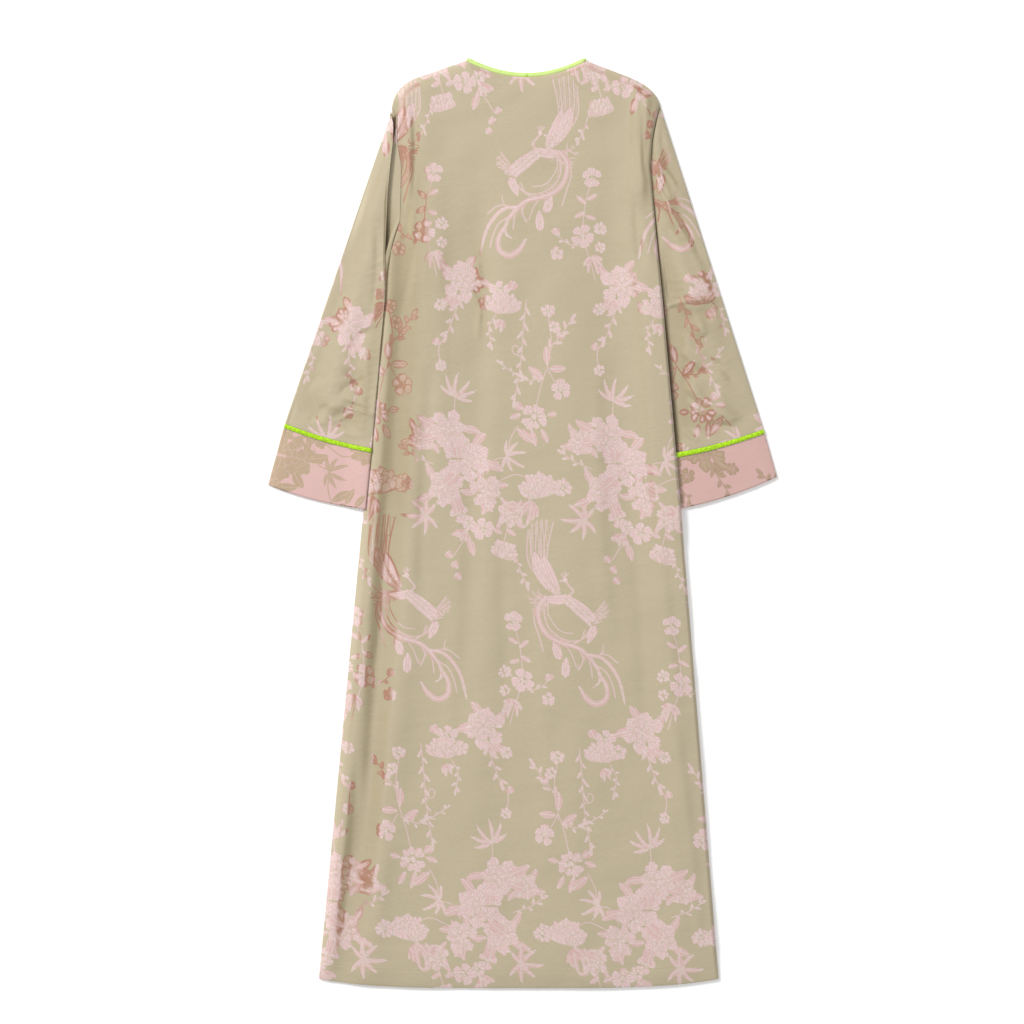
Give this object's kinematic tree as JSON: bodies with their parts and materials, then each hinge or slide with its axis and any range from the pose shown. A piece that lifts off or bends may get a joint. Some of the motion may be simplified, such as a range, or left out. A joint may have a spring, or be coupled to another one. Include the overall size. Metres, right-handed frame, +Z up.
{
  "type": "abaya",
  "caption": "Long flat-laid robe of two-tone floral jacquard, back up, with wide sleeves, reverse-side cuffs and corded piping at neck and cuffs.",
  "frame": {"origin": "middle of the laid garment's bounding box, on the surface it lies on", "axes": "+Y from hem to neck, +X to the viewer's right seen from above, +Z up off the surface, out of the garment's back"},
  "size_m": [0.756, 1.3808, 0.0114],
  "materials": {
    "jacquard": "khaki satin jacquard with pale pink flower and bird figures",
    "jacquard_reverse": "reverse of the same jacquard, pale pink with khaki figures",
    "piping": "bright lime satin bias piping"
  },
  "bodies": {
    "root": {"back_panel": "jacquard", "front_panel": "jacquard", "sleeve_left": "jacquard", "sleeve_right": "jacquard", "cuff_left": "jacquard_reverse", "cuff_right": "jacquard_reverse", "cuff_piping_left": "piping", "cuff_piping_right": "piping", "neck_piping": "piping"}
  },
  "joints": []
}
